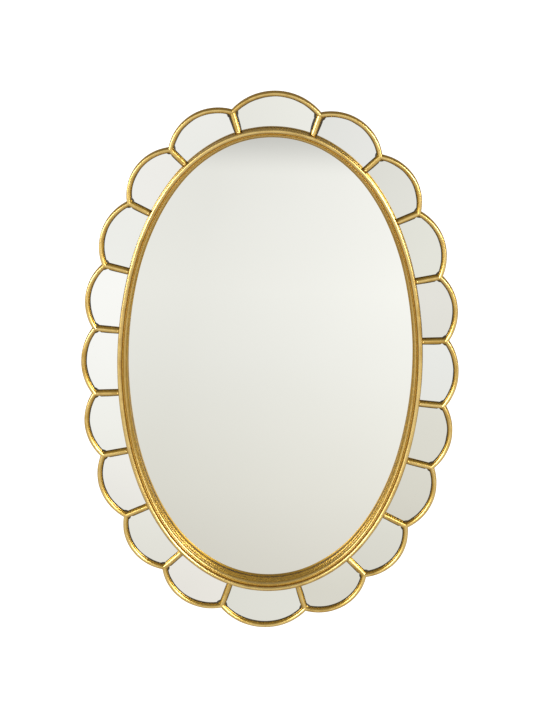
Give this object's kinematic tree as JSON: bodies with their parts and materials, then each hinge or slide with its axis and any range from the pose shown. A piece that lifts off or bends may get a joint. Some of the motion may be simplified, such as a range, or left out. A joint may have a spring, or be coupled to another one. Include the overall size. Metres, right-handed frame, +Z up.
{
  "type": "scalloped wall mirror",
  "caption": "Tall oval wall mirror with a stepped gilt ring and a border of scalloped petal mirrors between gilt bars.",
  "frame": {"origin": "centre of the mirror on the wall plane, which the rear faces of the four wall pads touch", "axes": "+X to the right seen from the front, +Z up along the long axis, -Y out of the mirror towards the room"},
  "size_m": [0.61, 0.0361, 0.9146],
  "materials": {
    "gilded_iron": "antique gold leaf, rubbed",
    "gilded_wood": "antique gold leaf over brown size",
    "petal_glass": "silvered glass",
    "centre_glass": "silvered glass",
    "board": "fibreboard painted dark brown",
    "hardboard": "bare hardboard",
    "zinc_steel": "zinc plated",
    "felt_pad": "soft dark bumper"
  },
  "bodies": {
    "mirror": {"petal_rim_01": "gilded_iron", "petal_rim_02": "gilded_iron", "petal_rim_03": "gilded_iron", "petal_rim_04": "gilded_iron", "petal_rim_05": "gilded_iron", "petal_rim_06": "gilded_iron", "petal_rim_07": "gilded_iron", "petal_rim_08": "gilded_iron", "petal_rim_09": "gilded_iron", "petal_rim_10": "gilded_iron", "petal_rim_11": "gilded_iron", "petal_rim_12": "gilded_iron", "petal_rim_13": "gilded_iron", "petal_rim_14": "gilded_iron", "petal_rim_15": "gilded_iron", "petal_rim_16": "gilded_iron", "petal_rim_17": "gilded_iron", "petal_rim_18": "gilded_iron", "petal_rim_19": "gilded_iron", "petal_rim_20": "gilded_iron", "divider_bars": "gilded_iron", "oval_ring": "gilded_wood", "petal_mirror_01": "petal_glass", "petal_mirror_02": "petal_glass", "petal_mirror_03": "petal_glass", "petal_mirror_04": "petal_glass", "petal_mirror_05": "petal_glass", "petal_mirror_06": "petal_glass", "petal_mirror_07": "petal_glass", "petal_mirror_08": "petal_glass", "petal_mirror_09": "petal_glass", "petal_mirror_10": "petal_glass", "petal_mirror_11": "petal_glass", "petal_mirror_12": "petal_glass", "petal_mirror_13": "petal_glass", "petal_mirror_14": "petal_glass", "petal_mirror_15": "petal_glass", "petal_mirror_16": "petal_glass", "petal_mirror_17": "petal_glass", "petal_mirror_18": "petal_glass", "petal_mirror_19": "petal_glass", "petal_mirror_20": "petal_glass", "centre_mirror": "centre_glass", "carrier_board": "board", "back_board": "hardboard", "retainer_clips": "zinc_steel", "clip_screws": "zinc_steel", "hanger_screws": "zinc_steel", "hanger_strap_left": "zinc_steel", "hanger_strap_right": "zinc_steel", "wall_pad_upper_right": "felt_pad", "wall_pad_lower_right": "felt_pad", "wall_pad_lower_left": "felt_pad", "wall_pad_upper_left": "felt_pad"},
    "left_ring": {"d_ring_left": "zinc_steel"},
    "right_ring": {"d_ring_right": "zinc_steel"}
  },
  "joints": [
    {"name": "left_ring_hinge", "type": "hinge", "parent": "mirror", "child": "left_ring", "pos_m": [-0.24911, -0.00284, 0.18147], "axis": [-1, 0, 0], "range_deg": [0, 170]},
    {"name": "right_ring_hinge", "type": "hinge", "parent": "mirror", "child": "right_ring", "pos_m": [0.24911, -0.00284, 0.18147], "axis": [-1, 0, 0], "range_deg": [0, 170]}
  ]
}
